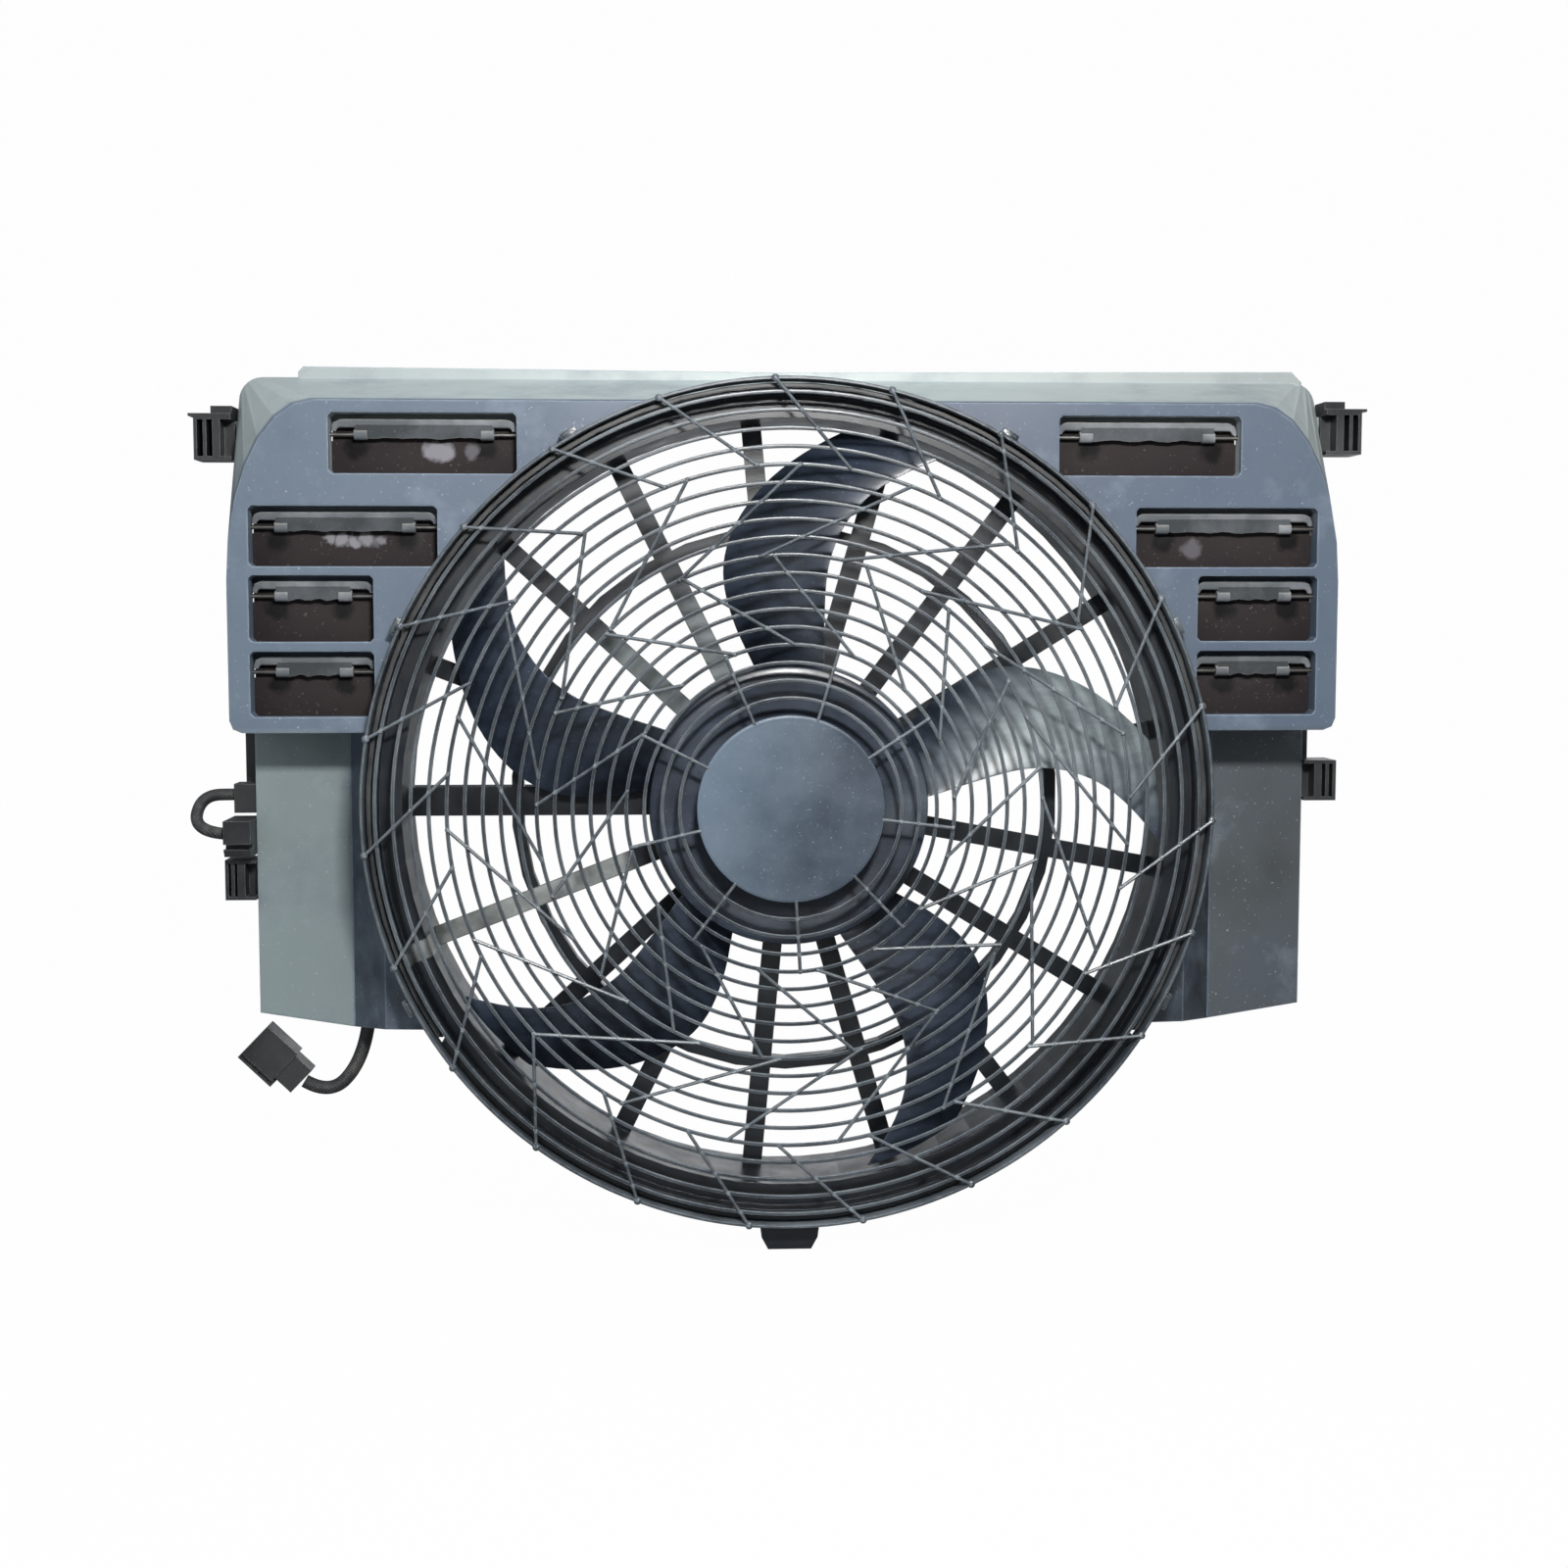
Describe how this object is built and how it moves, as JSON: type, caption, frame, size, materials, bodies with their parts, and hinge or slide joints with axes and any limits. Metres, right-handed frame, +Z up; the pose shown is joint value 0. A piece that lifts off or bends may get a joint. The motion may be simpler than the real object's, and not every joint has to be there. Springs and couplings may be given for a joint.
{
  "type": "radiator cooling fan",
  "caption": "Car radiator fan with a grey shroud, ram-air flaps, a round ring guard, a sickle-blade fan on an electric motor, side clips and a cable pigtail.",
  "frame": {"origin": "where the fan's axis meets the rear plane that lies against the condenser", "axes": "+Z up, +X to the right seen from the guard side, the guard faces -Y"},
  "size_m": [0.6889, 0.0816, 0.51],
  "materials": {
    "shroud_plastic": "matte moulded grey, dusty",
    "black_plastic": "satin moulded black",
    "guard_plastic": "satin moulded black",
    "fan_plastic": "semi-gloss moulded black",
    "flap_plastic": "dusty dark brown-black",
    "clip_plastic": "moulded black",
    "plug_plastic": "moulded black",
    "holder_plastic": "phenolic brown",
    "motor_steel": "black painted steel",
    "cap_steel": "black painted steel",
    "bearing_steel": "ground steel",
    "shaft_steel": "ground steel",
    "nut_steel": "zinc plated",
    "screw_steel": "zinc plated",
    "pin_steel": "drawn wire",
    "core_steel": "laminated",
    "magnet_ferrite": "ferrite, matt",
    "winding_copper": "enamelled copper",
    "commutator_copper": "copper segments",
    "brush_carbon": "carbon",
    "insert_brass": "turned",
    "terminal_brass": "tinned",
    "cable_sheath": "braided black sleeve",
    "sleeve_rubber": "moulded black"
  },
  "bodies": {
    "frame": {"branch_sleeve": "sleeve_rubber", "brush_holder": "holder_plastic", "brushes": "brush_carbon", "cable_saddle": "clip_plastic", "carrier_screws": "screw_steel", "clip_lower_left": "clip_plastic", "clip_lower_right": "clip_plastic", "clip_upper_left": "clip_plastic", "clip_upper_right": "clip_plastic", "connector_terminals": "terminal_brass", "fan_carrier": "black_plastic", "front_bearing": "bearing_steel", "guard": "guard_plastic", "hinge_pins": "pin_steel", "magnets": "magnet_ferrite", "motor_cable": "cable_sheath", "motor_end_cap": "cap_steel", "motor_housing": "motor_steel", "motor_screws": "screw_steel", "pigtail_cable": "cable_sheath", "pigtail_connector": "plug_plastic", "rear_bearing": "bearing_steel", "shroud": "shroud_plastic", "side_cable": "cable_sheath", "side_plug": "plug_plastic"},
    "fan": {"fan_wheel": "fan_plastic", "hub_insert": "insert_brass", "hub_nut": "nut_steel", "motor_shaft": "shaft_steel", "armature_core": "core_steel", "armature_winding": "winding_copper", "commutator": "commutator_copper"},
    "flap_left_1": {"flap_left_1": "flap_plastic"},
    "flap_left_2": {"flap_left_2": "flap_plastic"},
    "flap_left_3": {"flap_left_3": "flap_plastic"},
    "flap_left_4": {"flap_left_4": "flap_plastic"},
    "flap_right_1": {"flap_right_1": "flap_plastic"},
    "flap_right_2": {"flap_right_2": "flap_plastic"},
    "flap_right_3": {"flap_right_3": "flap_plastic"},
    "flap_right_4": {"flap_right_4": "flap_plastic"}
  },
  "joints": [
    {"name": "fan_spin", "type": "hinge", "parent": "frame", "child": "fan", "pos_m": [0, 0, 0], "axis": [0, 1, 0], "continuous": true},
    {"name": "flap_left_1_hinge", "type": "hinge", "parent": "frame", "child": "flap_left_1", "pos_m": [-0.2045, -0.0565, 0.2095], "axis": [1, 0, 0], "range_deg": [0, 65]},
    {"name": "flap_left_2_hinge", "type": "hinge", "parent": "frame", "child": "flap_left_2", "pos_m": [-0.24925, -0.0565, 0.158], "axis": [1, 0, 0], "range_deg": [0, 65]},
    {"name": "flap_left_3_hinge", "type": "hinge", "parent": "frame", "child": "flap_left_3", "pos_m": [-0.2675, -0.0565, 0.1195], "axis": [1, 0, 0], "range_deg": [0, 65]},
    {"name": "flap_left_4_hinge", "type": "hinge", "parent": "frame", "child": "flap_left_4", "pos_m": [-0.2675, -0.0565, 0.077], "axis": [1, 0, 0], "range_deg": [0, 65]},
    {"name": "flap_right_1_hinge", "type": "hinge", "parent": "frame", "child": "flap_right_1", "pos_m": [0.2045, -0.0565, 0.2095], "axis": [1, 0, 0], "range_deg": [0, 65]},
    {"name": "flap_right_2_hinge", "type": "hinge", "parent": "frame", "child": "flap_right_2", "pos_m": [0.24925, -0.0565, 0.158], "axis": [1, 0, 0], "range_deg": [0, 65]},
    {"name": "flap_right_3_hinge", "type": "hinge", "parent": "frame", "child": "flap_right_3", "pos_m": [0.2675, -0.0565, 0.1195], "axis": [1, 0, 0], "range_deg": [0, 65]},
    {"name": "flap_right_4_hinge", "type": "hinge", "parent": "frame", "child": "flap_right_4", "pos_m": [0.2675, -0.0565, 0.077], "axis": [1, 0, 0], "range_deg": [0, 65]}
  ]
}
